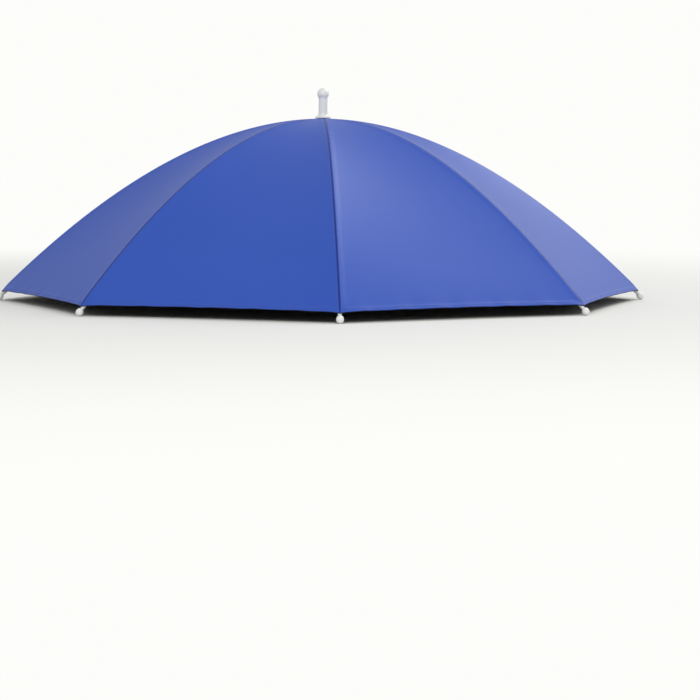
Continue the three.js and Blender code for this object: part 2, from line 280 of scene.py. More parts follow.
blue_nylon, blue_shader = new_finish("blue_nylon")
set_inputs(blue_shader, Roughness=0.45, Specular_IOR_Level=0.25)
set_inputs(blue_shader, Sheen_Weight=0.02, Sheen_Roughness=0.3, Sheen_Tint=(0.7, 0.8, 1.0, 1.0))
blue_tone = tone_range(blue_nylon, (0.025, 0.081, 0.440, 1), (0.021, 0.071, 0.408, 1), 0.12)
# the seam line mixed in here is partly a darker join and partly painted shade
seam_join_and_shade_mix = add_node(blue_nylon, "ShaderNodeMix", data_type="RGBA")
seam_join_and_shade_mix.inputs["B"].default_value = seam_join_and_shade_colour
join(blue_nylon, near_seam(blue_nylon, seam_join_and_shade_width), seam_join_and_shade_mix.inputs["Factor"])
join(blue_nylon, blue_tone, seam_join_and_shade_mix.inputs["A"])
join(blue_nylon, seam_join_and_shade_mix.outputs["Result"], blue_shader.inputs["Base Color"])
blue_weave = cloth_weave(blue_nylon, nylon_pitch, 0.025 * MM, blue_shader)
print(blue_nylon.name, "with", len(blue_nylon.node_tree.nodes), "nodes")

# %% [markdown]
# A sewn seam draws its cloth into little puckers. They are noise on the UV map, squeezed until its clouds
# are short along the seam and long across it. They fade out beside the seam, and their bump lies under
# the bump of the weave.

# %% Seam puckers
puckers_per_metre = (25.0, 150.0, 1.0)  # across a gore, along it, and not used
pucker_reach = 16 * MM
pucker_depth = 0.5 * MM

pucker_place = add_node(blue_nylon, "ShaderNodeUVMap", uv_map="cut")
pucker_stretch = add_node(blue_nylon, "ShaderNodeMapping")
set_inputs(pucker_stretch, Scale=puckers_per_metre)
pucker = add_node(blue_nylon, "ShaderNodeTexNoise")
set_inputs(pucker, Scale=1.0, Detail=1.0)
pucker_height = add_node(blue_nylon, "ShaderNodeMath", operation="MULTIPLY")
pucker_bump = add_node(blue_nylon, "ShaderNodeBump")
set_inputs(pucker_bump, Strength=0.5, Distance=pucker_depth)
join(blue_nylon, pucker_place.outputs["UV"], pucker_stretch.inputs["Vector"])
join(blue_nylon, pucker_stretch.outputs["Vector"], pucker.inputs["Vector"])
join(blue_nylon, pucker.outputs["Fac"], pucker_height.inputs[0])
join(blue_nylon, near_seam(blue_nylon, pucker_reach), pucker_height.inputs[1])
join(blue_nylon, pucker_height.outputs[0], pucker_bump.inputs["Height"])
join(blue_nylon, pucker_bump.outputs["Normal"], blue_weave.inputs["Normal"])
print("puckers reach", pucker_reach, "m")

# %% [markdown]
# The canopy is eight sewn gores drawn tight over curved ribs. Its form is known exactly from the CAD model:
# along a rib it is a bent strip, and between two ribs it sinks a little. The same formulas are used here,
# on a much finer net. A place on a gore is given by two shares: how far out it is, from 0 in the middle to
# 1 at the hem, and how far across, from -1 on one seam to 1 on the other.

# %% The form of the cloth
panel_count = 8
half_panel = math.pi / panel_count
rib_fullness = 0.15
panel_sag = 5.5 * MM
hem_cut = 2.5 * MM
hem_power = 6
sag_shares = [0, 0.3, 0.73, 1, 0.85, 0.25]


def spline(values, along):
    """A smooth curve through evenly spaced values, which may be numbers or vectors."""
    step = along * (len(values) - 1)
    first = min(int(step), len(values) - 2)
    part = step - first
    before = values[max(first - 1, 0)]
    start = values[first]
    end = values[first + 1]
    after = values[min(first + 2, len(values) - 1)]
    leave = (end - before) * 0.5
    arrive = (after - start) * 0.5
    cubic = (start - end) * 2 + leave + arrive
    square = (end - start) * 3 - leave * 2 - arrive
    return cubic * part**3 + square * part**2 + leave * part + start


def cloth_height(out):
    return canopy_height * (1 - out * out * (1 + rib_fullness * (1 - out)))


def cloth_slope(out):
    steepness = 2 * out * (1 + rib_fullness * (1 - out)) - rib_fullness * out * out
    return math.atan(canopy_height / canopy_radius * steepness)


def gore_point(out, across):
    """A point of the cloth's smooth outer face, on a gore that faces along +X."""
    slope = cloth_slope(out)
    between = 1 - across * across
    sink = panel_sag * spline(sag_shares, out) * between
    rise = hem_cut * out**hem_power * between
    radius = out * canopy_radius
    outwards = radius * math.cos(half_panel) - sink * math.sin(slope) - rise * math.cos(slope)
    sideways = across * radius * math.sin(half_panel)
    up = cloth_height(out) - sink * math.cos(slope) + rise * math.sin(slope)
    return Vector((outwards, sideways, up + rim_height))


end_slope = cloth_slope(1)
gore_edge = canopy_radius * math.sin(half_panel)
print("end slope", round(math.degrees(end_slope), 1), "half a hem", round(gore_edge, 4))

# %% [markdown]
# The net of one gore has rows from the middle to the hem and columns from seam to seam. Both lie close
# together beside the seams and the hem, where the detail is, and far apart on the open cloth. The lists
# give their distances in millimetres from the seam and from the hem.

# %% Rows and columns
seam_steps = [0, 0.35, 0.8, 1.4, 2.3, 3.6, 5.2, 7, 9.5, 12.5, 16, 20]
seam_steps += [24.5 + 5.5 * step for step in range(19)]
hem_steps = [0, 0.5, 1.2, 2.0, 2.7, 3.2, 3.8, 4.6, 5.8, 8, 12, 18]
upper_rows = 40
row_power = 1.15  # sets the upper rows closer together near the middle
post_bore = 3 * MM + fit_gap

half_across = [1 - step * MM / gore_edge for step in seam_steps]
across_steps = [-share for share in half_across] + [0.0] + half_across[::-1]
hem_shares = [1 - step * MM * math.cos(end_slope) / canopy_radius for step in hem_steps]
first_share = post_bore / math.cos(half_panel) / canopy_radius
upper_reach = hem_shares[-1] - first_share
out_steps = [first_share + upper_reach * (row / upper_rows) ** row_power for row in range(upper_rows)]
out_steps += hem_shares[::-1]
print(len(out_steps), "rows of", len(across_steps), "points")

# %% [markdown]
# A seam and a hem are folds of the same cloth, so they are made as relief in the net itself. The seam is a
# narrow groove with a slightly raised fold on each side, and the hem a narrow doubled edge with a stitched
# line. The hem waves a little between two tips, and at its corners the cloth is drawn in.

# %% Relief of the seams and the hem
fold_width = 5.0 * MM
fold_blur = 2 * MM
hem_width = 4.5 * MM
stitch_line = 3.2 * MM
nudge = 1e-4  # a short step, for measuring a direction


def soft_edge(distance, width, blur):
    """1 inside a width and 0 outside it, with a soft change."""
    share = min(max((distance - width) / blur + 0.5, 0), 1)
    return 1 - share * share * (3 - 2 * share)


def bell(distance, width):
    return math.exp(-((distance / width) ** 2))


def cloth_relief(seam, hem, along):
    """How far the outer face stands out of its smooth form. Each height is in mm until the last line."""
    groove = -0.5 * bell(seam, 0.7 * MM)
    fold = 0.22 * soft_edge(seam, fold_width, fold_blur)
    doubled = 0.42 * soft_edge(hem, hem_width, 0.9 * MM)
    stitched = -0.16 * bell(hem - stitch_line, 0.6 * MM)
    long_wave = 0.26 * math.sin(2 * math.pi * along / (37 * MM))
    short_wave = 0.14 * math.sin(2 * math.pi * along / (21 * MM) + 1.3)
    gathered = (long_wave + short_wave) * math.exp(-hem / (9 * MM)) * (1 - bell(seam, 12 * MM))
    drawn_in = -1.05 * bell(math.hypot(seam, hem), 6 * MM)
    return (groove + max(fold, doubled) + stitched + gathered + drawn_in) * MM


def gore_normal(out, across):
    """The way the cloth faces. On a seam it faces as the rib does, so that both gores agree there."""
    inner_out = min(out, 1 - nudge)
    inner_across = min(max(across, -1 + nudge), 1 - nudge)
    along = gore_point(inner_out + nudge, inner_across) - gore_point(inner_out - nudge, inner_across)
    sideways = gore_point(inner_out, inner_across + nudge) - gore_point(inner_out, inner_across - nudge)
    gore_facing = along.cross(sideways).normalized()
    slope = cloth_slope(out)
    seam_turn = math.copysign(half_panel, across)
    level = math.sin(slope)
    seam_facing = Vector((level * math.cos(seam_turn), level * math.sin(seam_turn), math.cos(slope)))
    seam = (1 - abs(across)) * out * gore_edge
    return gore_facing.lerp(seam_facing, bell(seam, 1.2 * MM)).normalized()


def face_point(out, across):
    """A point of the finished outer face, and its distances from the seam and the hem."""
    seam = (1 - abs(across)) * out * gore_edge
    hem = (1 - out) * canopy_radius / math.cos(end_slope)
    along_hem = across * out * gore_edge
    lift = cloth_relief(seam, hem, along_hem)
    return gore_point(out, across) + gore_normal(out, across) * lift, seam, hem


print("a seam lies", round(-cloth_relief(0, canopy_radius, 0) / MM, 2), "mm deep")

# %% [markdown]
# One gore starts as a flat grid. Each of its points is moved onto the form, and a spin copies the gore
# round. Each point also keeps three things for later: its place on the flat cut cloth, its distance from
# the seam, and how thick the cloth is there, since a fold is doubled.

# %% Canopy net
length_share = 1.13  # of cloth along a gore, for each metre outwards


def spin_gore(bm):
    """Turns what was made on one gore into place, and copies it onto the other seven."""
    first_turn = Matrix.Rotation(half_panel - math.pi / 2, 3, "Z")
    bmesh.ops.rotate(bm, verts=bm.verts[:], matrix=first_turn)
    bmesh.ops.spin(
        bm,
        geom=bm.verts[:] + bm.edges[:] + bm.faces[:],
        axis=(0, 0, 1),
        angle=2 * math.pi * (panel_count - 1) / panel_count,
        steps=panel_count - 1,
        use_duplicate=True,
    )


def face_outwards(bm):
    """Points the faces of an open net away from the hat's middle."""
    bmesh.ops.recalc_face_normals(bm, faces=bm.faces[:])
    if sum(face.normal.dot(face.calc_center_median()) for face in bm.faces) < 0:
        bmesh.ops.reverse_faces(bm, faces=bm.faces[:])


canopy_bm = bmesh.new()
columns = len(across_steps) - 1
rows = len(out_steps) - 1
bmesh.ops.create_grid(canopy_bm, x_segments=columns, y_segments=rows, size=1)
seam_layer = canopy_bm.verts.layers.float.new("seam_distance")
thick_layer = canopy_bm.verts.layers.deform.verify()
cut_layer = canopy_bm.loops.layers.uv.new("cut")
cut_place = {}
for vert in canopy_bm.verts:
    across = across_steps[round((vert.co.x + 1) / 2 * columns)]
    out = out_steps[round((vert.co.y + 1) / 2 * rows)]
    vert.co, seam, hem = face_point(out, across)
    vert[seam_layer] = seam
    doubled = max(soft_edge(seam, fold_width, fold_blur), soft_edge(hem, hem_width, 1 * MM))
    vert[thick_layer][0] = 0.5 + 0.5 * doubled
    cut_place[vert] = (across * out * gore_edge, out * canopy_radius * length_share)
for face in canopy_bm.faces:
    for loop in face.loops:
        loop[cut_layer].uv = cut_place[loop.vert]
spin_gore(canopy_bm)
bmesh.ops.remove_doubles(canopy_bm, verts=canopy_bm.verts[:], dist=1e-5)
face_outwards(canopy_bm)
cloth_area = sum(face.calc_area() for face in canopy_bm.faces)
print("canopy net", len(canopy_bm.verts), "points,", len(canopy_bm.faces), "faces")
print("cloth area", round(cloth_area, 4))

# %% [markdown]
# Every finished net becomes an object in the same way, so one helper does it: it makes the mesh, smooths it
# up to a given angle, gives it its finishes, and hides the CAD nodes it stands for. Solidify then gives the
# canopy its thickness. A vertex group makes it thicker along the folds, and the inner wall takes the second
# finish, the coating.

# %% Canopy


def add_piece(name, bm, finishes, nodes, sharp_angle=35):
    mesh = bpy.data.meshes.new(name)
    bm.to_mesh(mesh)
    bm.free()
    for finish in finishes:
        mesh.materials.append(finish)
    mesh.shade_smooth()
    mesh.set_sharp_from_angle(angle=math.radians(sharp_angle))
    piece = bpy.data.objects.new(name, mesh)
    bpy.context.collection.objects.link(piece)
    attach(piece, "root")
    if nodes:
        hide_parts(*nodes)
    return piece


canopy = add_piece("sewn_canopy", canopy_bm, [blue_nylon, black_coating], ["canopy"], 60)
canopy.vertex_groups.new(name="doubled")
thickness = canopy.modifiers.new("thickness", "SOLIDIFY")
thickness.thickness = 1.0 * MM
thickness.offset = -1
thickness.vertex_group = "doubled"
thickness.material_offset = 1
thickness.material_offset_rim = 1
print("canopy from", [round(x, 3) for x in canopy.bound_box[0]])

# %% [markdown]
# The hem's stitches are tiny, but they show as a dotted line beside the edge. Each is a low ball pulled
# long, of two dozen faces, laid along the stitched line.

# %% Hem stitches
stitch_pitch = 3.4 * MM
stitch_size = Vector((0.24, 1.15, 0.16)) * MM
stitch_lift = 0.08 * MM
stitch_out = 1 - stitch_line * math.cos(end_slope) / canopy_radius
stitches_per_gore = int(2 * gore_edge / stitch_pitch) - 2

thread, thread_shader = new_finish("blue_thread")
set_inputs(thread_shader, Roughness=0.6, Sheen_Weight=0.05)
thread_tone = tone_range(thread, (0.016, 0.058, 0.33, 1), (0.010, 0.042, 0.25, 1), 0.004)
join(thread, thread_tone, thread_shader.inputs["Base Color"])

stitch_bm = bmesh.new()
stitch_scale = Matrix.Diagonal((*stitch_size, 1))
for number in range(stitches_per_gore):
    across = -1 + 2 * (number + 1.5) / (stitches_per_gore + 2)
    place = face_point(stitch_out, across)[0]
    step = (face_point(stitch_out, across + 0.004)[0] - place).normalized()
    normal = gore_normal(stitch_out, across)
    lay = Matrix.Identity(4)
    for axis, direction in enumerate((step.cross(normal), step, normal)):
        lay.col[axis][:3] = direction
    lay.translation = place + normal * stitch_lift
    bmesh.ops.create_uvsphere(stitch_bm, u_segments=6, v_segments=4, radius=1, matrix=lay @ stitch_scale)
spin_gore(stitch_bm)
stitches = add_piece("hem_stitches", stitch_bm, [thread], [])
rib_names = [f"rib_{number}" for number in range(1, panel_count + 1)]
print(panel_count * stitches_per_gore, "stitches")

# %% [markdown]
# The plastics and the steel are simple finishes, but none is one flat value. Moulded plastic has a faint
# grain and its gloss wanders a little, and painted steel wire is dark with brighter edges, which are partly
# rubbed bare steel and partly a painted highlight. One helper makes them all from a row of numbers.

# %% Hard finishes
duller = 0.08  # how far the gloss wanders each way
shinier = 0.06


def hard_finish(name, pale, dark, roughness, metallic, grain, grain_depth):
    """Two tones, a wandering gloss, and a grain with its size and depth in mm."""
    made, shader = new_finish(name)
    set_inputs(shader, Metallic=metallic)
    tone = tone_range(made, pale, dark, 0.02)
    place = add_node(made, "ShaderNodeTexCoord")
    noise = add_node(made, "ShaderNodeTexNoise")
    set_inputs(noise, Scale=1 / (grain * MM), Detail=2.0)
    gloss = add_node(made, "ShaderNodeMapRange")
    set_inputs(gloss, To_Min=roughness - shinier, To_Max=roughness + duller)
    bump = add_node(made, "ShaderNodeBump")
    set_inputs(bump, Strength=0.3, Distance=grain_depth * MM)
    join(made, tone, shader.inputs["Base Color"])
    join(made, place.outputs["Object"], noise.inputs["Vector"])
    join(made, noise.outputs["Fac"], gloss.inputs["Value"])
    join(made, gloss.outputs["Result"], shader.inputs["Roughness"])
    join(made, noise.outputs["Fac"], bump.inputs["Height"])
    join(made, bump.outputs["Normal"], shader.inputs["Normal"])
    return made


finish_rows = {
    # name: pale tone, dark tone, roughness, metallic, grain, depth of the grain
    "white_moulded_plastic": ((0.74, 0.745, 0.74, 1), (0.68, 0.69, 0.69, 1), 0.34, 0.0, 0.9, 0.03),
    "black_painted_steel": ((0.02, 0.02, 0.021, 1), (0.012, 0.012, 0.013, 1), 0.36, 0.4, 0.6, 0.02),
    # pale rib edges: partly rubbed bare steel, partly a painted highlight
    "rubbed_steel_and_highlight": ((0.30, 0.30, 0.29, 1), (0.20, 0.20, 0.20, 1), 0.35, 0.8, 0.6, 0.02),
    "black_moulded_plastic": ((0.016, 0.016, 0.015, 1), (0.01, 0.01, 0.01, 1), 0.45, 0.0, 0.5, 0.03),
    "grey_moulded_plastic": ((0.105, 0.109, 0.115, 1), (0.08, 0.084, 0.089, 1), 0.42, 0.0, 0.5, 0.03),
}
white_plastic, black_steel, worn_and_highlight_steel, black_plastic, grey_plastic = [
    hard_finish(name, *row) for name, row in finish_rows.items()
]
print(len(finish_rows), "hard finishes")

# %% [markdown]
# The finial is the white knob on top, a turned shape: a profile of radius and height, spun about an axis.
# The profile is a short list of points in millimetres, and its rounded parts are arcs. It runs from the
# bore for the post, over the flange on the cloth and up the neck, to the ball.

# %% Finial


def arc(middle, radii, start, end, steps):
    """Points of an ellipse from one angle to another, angles counted from the axis."""
    points = []
    for step in range(steps + 1):
        angle = math.radians(start + (end - start) * step / steps)
        points.append((middle[0] + radii[0] * math.sin(angle), middle[1] + radii[1] * math.cos(angle)))
    return points


def turned(profile, steps):
    """A net spun from a profile of (radius, height) points in mm, with its axis along +Z."""
    bm = bmesh.new()
    verts = [bm.verts.new((radius * MM, 0, height * MM)) for radius, height in profile]
    edges = [bm.edges.new(pair) for pair in zip(verts, verts[1:])]
    bmesh.ops.spin(
        bm, geom=verts + edges, axis=(0, 0, 1), angle=2 * math.pi, steps=steps, use_merge=True
    )
    bmesh.ops.remove_doubles(bm, verts=bm.verts[:], dist=1e-6)
    bmesh.ops.recalc_face_normals(bm, faces=bm.faces[:])
    return bm


finial_profile = (
    [(0, 16), (3.3, 16), (3.3, 0.0)]
    + [(7.6, 0.0), (8.0, 0.35), (8.0, 1.1)]
    + arc((7.3, 1.1), (0.7, 0.7), 80, 10, 4)
    + [(6.3, 2.1), (5.4, 2.9), (4.8, 4.1), (4.55, 6.0), (4.5, 9.0), (4.5, 14.0), (4.5, 19.0)]
    + [(4.55, 20.1), (4.75, 20.8)]
    + arc((0, 25.0), (6.0, 6.0), 124, 0, 18)
)
finial_bm = turned(finial_profile, 48)
finial_foot = rim_height + canopy_height + fit_gap
bmesh.ops.translate(finial_bm, verts=finial_bm.verts[:], vec=(0, 0, finial_foot))
finial = add_piece("finial_knob", finial_bm, [white_plastic], ["finial"], 40)
print("finial top", round(finial.bound_box[1][2], 4))

# %% [markdown]
# A rib tip holds the end of a rib in a sleeve inside the cloth and shows as a little egg outside it. All
# eight are the same moulding, so one profile makes them and a turn sets each at its corner.

# %% Rib tips
cloth_thickness = 1 * MM
seam_clearance = 0.55 * MM
rib_width = 1.8 * MM
rib_height = 1.5 * MM
socket_radius = math.hypot(rib_width, rib_height) / 2 + fit_gap
sleeve_radius = socket_radius + 0.78 * MM
sleeve_length = 8.5
neck_radius = 1.6
neck_length = 1.5
ball_radii = (3.5, 4.0)
ball_middle = neck_length + ball_radii[1] * math.cos(math.asin(neck_radius / ball_radii[0]))
bore = socket_radius / MM
wall = sleeve_radius / MM
tip_profile = (
    [(0, -3.5), (1.35, -3.5), (bore, -3.8), (bore, -8.2), (1.6, -sleeve_length)]
    + [(1.95, -sleeve_length), (wall, -8.2), (wall, -7.2), (2.1, -6.6), (2.0, -3.5)]
    + [(1.85, -1.2), (1.68, -0.2), (neck_radius, 0.6), (neck_radius, 1.2)]
    + arc((0, ball_middle), ball_radii, 148, 0, 14)
)
rib_depth = cloth_thickness + seam_clearance + sleeve_radius


def rib_point(out):
    """The middle of a rib in the plane of x outwards and z up, at a share of the way out."""
    slope = cloth_slope(out)
    outwards = out * canopy_radius - rib_depth * math.sin(slope)
    return Vector((outwards, 0, cloth_height(out) - rib_depth * math.cos(slope) + rim_height))


def spoke_turn(azimuth):
    """A turn that takes +X to an azimuth, counted from the front."""
    return Matrix.Rotation(azimuth - math.pi / 2, 4, "Z")


tip_turn = Matrix.Translation(rib_point(1)) @ Matrix.Rotation(math.pi / 2 + end_slope, 4, "Y")
rib_turns = [spoke_turn(number * 2 * half_panel) for number in range(panel_count)]
for number, rib_turn in enumerate(rib_turns, 1):
    tip_bm = turned(tip_profile, 28)
    bmesh.ops.transform(tip_bm, matrix=rib_turn @ tip_turn, verts=tip_bm.verts[:])
    tip = add_piece(f"tip_{number}", tip_bm, [white_plastic], [f"rib_tip_{number}"], 40)
print("tips end at", round(min(corner[2] for corner in tip.bound_box), 5))

# %% [markdown]
# Each rib is a strip of steel folded into a channel and bent. Its open side faces down, where the two edges
# of the strip show as thin pale lines against the black lining; the pale lines are partly rubbed bare steel
# and partly a painted highlight. The section is listed corner by corner: up one side, over the rounded
# back, down the other side, and back along the inner wall.

# %% Section of a rib
half_width = rib_width / 2
half_height = rib_height / 2
channel_wall = 0.32 * MM
channel = [
    (-half_width, -half_height),
    (-half_width, half_height * 0.55),
    (-half_width * 0.8, half_height * 0.92),
    (-half_width * 0.45, half_height),
    (half_width * 0.45, half_height),
    (half_width * 0.8, half_height * 0.92),
    (half_width, half_height * 0.55),
    (half_width, -half_height),
    (half_width - channel_wall, -half_height),
    (half_width - channel_wall, half_height * 0.3),
    (0, half_height - channel_wall),
    (-half_width + channel_wall, half_height * 0.3),
    (-half_width + channel_wall, -half_height),
]
print("a section of", len(channel), "corners")

# %% [markdown]
# The section is swept along the rib's curve. It starts as one face, which is extruded step by step, and
# each new ring of corners is moved to its own place and turn. Extruding leaves the old face behind inside
# the solid each time, so those faces are taken out at the end.

# %% Ribs
hub_radius = 10 * MM
slot_depth = 4 * MM
tip_socket_depth = 5 * MM
rib_start = (hub_radius - slot_depth + fit_gap) / canopy_radius
rib_end = 1 - (sleeve_length * MM - tip_socket_depth + fit_gap) * math.cos(end_slope) / canopy_radius
rib_steps = 36
narrow_face_area = 6e-6
sideways = Vector((0, 1, 0))


def frame_at(place, forward, side):
    """A frame whose X is the side, Y is up and Z runs forward."""
    lay = Matrix.Identity(4)
    for axis, direction in enumerate((side, forward.cross(side), forward)):
        lay.col[axis][:3] = direction.normalized()
    lay.translation = place
    return lay


def sweep(bm, sections, frames):
    """A solid through the frames. Sections hold (side, up) points, one list for each frame."""
    order = [bm.verts.new(frames[0] @ Vector((side, up, 0))) for side, up in sections[0]]
    face = bm.faces.new(order)
    old_faces = []
    for section, lay in zip(sections[1:], frames[1:]):
        grown = bmesh.ops.extrude_face_region(bm, geom=[face])["geom"]
        face = next(item for item in grown if isinstance(item, bmesh.types.BMFace))
        old_faces.append(face)
        corners = [loop.vert for loop in face.loops]
        nearest = min(range(len(corners)), key=lambda i: (corners[i].co - order[0].co).length)
        order = corners[nearest:] + corners[:nearest]
        for vert, (side, up) in zip(order, section):
            vert.co = lay @ Vector((side, up, 0))
    bmesh.ops.delete(bm, geom=old_faces[:-1], context="FACES_ONLY")
    bmesh.ops.recalc_face_normals(bm, faces=bm.faces[:])


def rib_frame(out):
    forward = rib_point(out + nudge) - rib_point(out - nudge)
    return frame_at(rib_point(out), forward.normalized(), sideways)


def is_worn_and_highlight_edge(face):
    """Whether a face is one of the narrow ones along the open side, which take the pale finish: rubbed bare
    steel and a painted highlight.
    """
    from_wall = abs(abs(face.calc_center_median().y) - half_width)
    return face.normal.z < -0.5 and face.calc_area() < narrow_face_area and from_wall < 0.4 * MM


rib_shares = [rib_start + (rib_end - rib_start) * step / rib_steps for step in range(rib_steps + 1)]
rib_frames = [rib_frame(out) for out in rib_shares]
for rib_name, rib_turn in zip(rib_names, rib_turns):
    rib_bm = bmesh.new()
    sweep(rib_bm, [channel] * len(rib_frames), rib_frames)
    # the narrow faces of the open side take the pale finish: partly rubbed steel, partly a painted
    # highlight
    for face in rib_bm.faces:
        face.material_index = int(is_worn_and_highlight_edge(face))
    bmesh.ops.transform(rib_bm, matrix=rib_turn, verts=rib_bm.verts[:])
    rib = add_piece(f"channel_{rib_name}", rib_bm, [black_steel, worn_and_highlight_steel], [rib_name], 40)
print(len(rib_names), "ribs of", len(rib.data.polygons), "faces")

# %% [markdown]
# The hub and the runner are discs with a slot for each rib or stretcher, and the plate at the foot of the
# post has a slot for each leg. Their CAD shapes are right, but their edges are knife sharp. A copy of each
# has its loose triangles merged and its flat sides joined into whole faces, and its edges are bevelled,
# so that they catch a line of light as moulded plastic does. A bevel goes wrong on one large face with many
# notches, so a disc is first cut into sectors between its slots, and its shortest edges are collapsed.

# %% Hub, runner and plate
moulded_cuts = {
    # node: the turns of the cuts through its middle, in degrees
    "hub": (22.5, 67.5, 112.5, 157.5),
    "runner": (22.5, 67.5, 112.5, 157.5),
    "crown_plate": (0, 90),
}
edge_radius = 0.3 * MM


def cut_along(bm, direction, distance):
    """Cuts a net along a plane, and gives back the new edges."""
    cut = bmesh.ops.bisect_plane(
        bm,
        geom=bm.verts[:] + bm.edges[:] + bm.faces[:],
        plane_co=Vector(direction) * distance,
        plane_no=direction,
        dist=1e-6,
    )["geom_cut"]
    return [item for item in cut if isinstance(item, bmesh.types.BMEdge)]


def join_flat_faces(bm):
    bmesh.ops.dissolve_limit(
        bm, angle_limit=math.radians(1), verts=bm.verts[:], edges=bm.edges[:], delimit={"SEAM"}
    )


def merged_copy(node, cut_turns=()):
    """A net copied from a CAD node, with whole flat faces between the cuts. Seams keep the cuts open."""
    bm = bmesh.new()
    bm.from_mesh(bpy.data.objects[node].data)
    bmesh.ops.remove_doubles(bm, verts=bm.verts[:], dist=2e-6)
    for turn in cut_turns:
        angle = math.radians(turn)
        for edge in cut_along(bm, (math.cos(angle), math.sin(angle), 0), 0):
            edge.seam = True
    join_flat_faces(bm)
    bmesh.ops.dissolve_degenerate(bm, dist=0.2 * MM, edges=bm.edges[:])
    return bm


def round_edges(bm, width, segments=2, sharper_than=28):
    limit = math.radians(sharper_than)
    sharp = [edge for edge in bm.edges if edge.is_manifold and edge.calc_face_angle(0) > limit]
    bmesh.ops.bevel(
        bm,
        geom=sharp,
        offset=width,
        offset_type="OFFSET",
        affect="EDGES",
        segments=segments,
        profile=0.5,
        material=-1,
    )


for node, cut_turns in moulded_cuts.items():
    moulded_bm = merged_copy(node, cut_turns)
    round_edges(moulded_bm, edge_radius)
    moulded = add_piece(f"moulded_{node}", moulded_bm, [black_plastic], [node])
    print(node, len(moulded.data.polygons), "faces")

# %% [markdown]
# The post is a plain steel rod with turned ends. It runs from the plate, through the runner and the hub,
# up into the finial, and takes its place and length from its CAD node.

# %% Post
post_low, post_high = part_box("post")
post_length = (post_high.z - post_low.z) / MM
post_profile = [(0, 0), (2.6, 0), (3.0, 0.4)]
post_profile += [(radius, post_length - height) for radius, height in post_profile[::-1]]
post_bm = turned(post_profile, 32)
bmesh.ops.translate(post_bm, verts=post_bm.verts[:], vec=(0, 0, post_low.z))
add_piece("steel_post", post_bm, [black_steel], ["post"])
print("post of", round(post_length, 1), "mm")

# %% [markdown]
# Each stretcher is a short bar from the runner to its rib, which it holds in a fork. It is a copy of its
# CAD node with rounded edges. The copy gets the pin that goes through the fork and the rib, turned with a
# low head at each end.

# %% Stretchers
stretcher_radius = 106 * MM  # from the middle out to where a stretcher holds its rib
stretcher_edge_radius = 0.22 * MM
pin_profile = [(0, -2.3), (0.75, -2.3), (0.95, -2.1), (0.95, -1.75), (0.5, -1.7)]
pin_profile += [(radius, -height) for radius, height in pin_profile[::-1]]
pin_place = rib_point(stretcher_radius / canopy_radius)
pin_turn = Matrix.Translation(pin_place) @ Matrix.Rotation(math.pi / 2, 4, "X")


def add_net(bm, extra_bm, place):
    """Adds a second net to a first, at a place and turn."""
    bmesh.ops.transform(extra_bm, matrix=place, verts=extra_bm.verts[:])
    carrier = bpy.data.meshes.new("carrier")
    extra_bm.to_mesh(carrier)
    extra_bm.free()
    bm.from_mesh(carrier)
    bpy.data.meshes.remove(carrier)


for number, rib_turn in enumerate(rib_turns, 1):
    stretcher_bm = merged_copy(f"stretcher_{number}")
    round_edges(stretcher_bm, stretcher_edge_radius)
    add_net(stretcher_bm, turned(pin_profile, 12), rib_turn @ pin_turn)
    bar = add_piece(f"bar_{number}", stretcher_bm, [black_steel], [f"stretcher_{number}"])
print("stretchers of", len(bar.data.polygons), "faces")

# %% [markdown]
# The headband is a rounded oval, squarer than an ellipse. Its outline is a formula of the azimuth, the
# turn counted from the front. The band, the legs' feet and the clips all follow it, and the way the
# outline faces turns the clips.

# %% Outline of the headband
band_half_width = 80 * MM
band_half_length = 98 * MM
band_squareness = 2.5
band_middle_line = 0.75 * MM  # half the band's thickness in from the outline


def band_radius(azimuth, inside=0.0):
    across = abs(math.sin(azimuth) / (band_half_width - inside)) ** band_squareness
    along = abs(math.cos(azimuth) / (band_half_length - inside)) ** band_squareness
    return (across + along) ** (-1 / band_squareness)


def band_point(azimuth, inside, height):
    radius = band_radius(azimuth, inside)
    return Vector((radius * math.sin(azimuth), -radius * math.cos(azimuth), height))


def band_facing(azimuth):
    """The azimuth that the band faces at an azimuth."""
    point = band_point(azimuth, band_middle_line, 0)
    power = band_squareness - 1
    x = math.copysign(abs(point.x) ** power / band_half_width**band_squareness, point.x)
    y = math.copysign(abs(point.y) ** power / band_half_length**band_squareness, point.y)
    return math.atan2(x, -y)


print("the band is", 2 * band_half_width, "by", 2 * band_half_length, "m")

# %% [markdown]
# The band is black elastic. Woven elastic shows fine cords along its length, so it is made of many low
# rows that rise and fall. It starts as a circle, which is moved onto the outline and extruded upwards row
# by row. Solidify gives it its thickness. Its weave is coarser than the nylon's, and needs a UV map too.

# %% Headband
band_height = 18.5 * MM
band_low = rim_height + 33 * MM
band_rows = 28
band_segments = 256
cord_relief = 0.09 * MM
edge_rounding = 0.45 * MM
rounded_width = 1.0 * MM
band_inset = 0.12 * MM
wrap_radius = 90 * MM  # a round band of this radius would be about as long

elastic, elastic_shader = new_finish("black_elastic")
set_inputs(elastic_shader, Roughness=0.8, Sheen_Weight=0.25, Sheen_Roughness=0.5)
set_inputs(elastic_shader, Sheen_Tint=(0.6, 0.7, 0.75, 1.0))
elastic_tone = tone_range(elastic, (0.010, 0.0125, 0.0125, 1), (0.0065, 0.008, 0.008, 1), 0.01)
join(elastic, elastic_tone, elastic_shader.inputs["Base Color"])
cloth_weave(elastic, 0.8 * MM, 0.12 * MM, elastic_shader)

row_place = {}


def shape_ring(verts, row):
    """Moves a ring of points onto the band's outline, and keeps the azimuth and height of each."""
    share = row / band_rows
    from_edge = min(share, 1 - share) * band_height
    rounding = edge_rounding * (1 - min(from_edge / rounded_width, 1)) ** 2
    cord = cord_relief * (row % 2)
    for vert in verts:
        azimuth = math.atan2(vert.co.x, -vert.co.y)
        vert.co = band_point(azimuth, band_inset + rounding - cord, band_low + share * band_height)
        row_place[vert] = (azimuth, share)


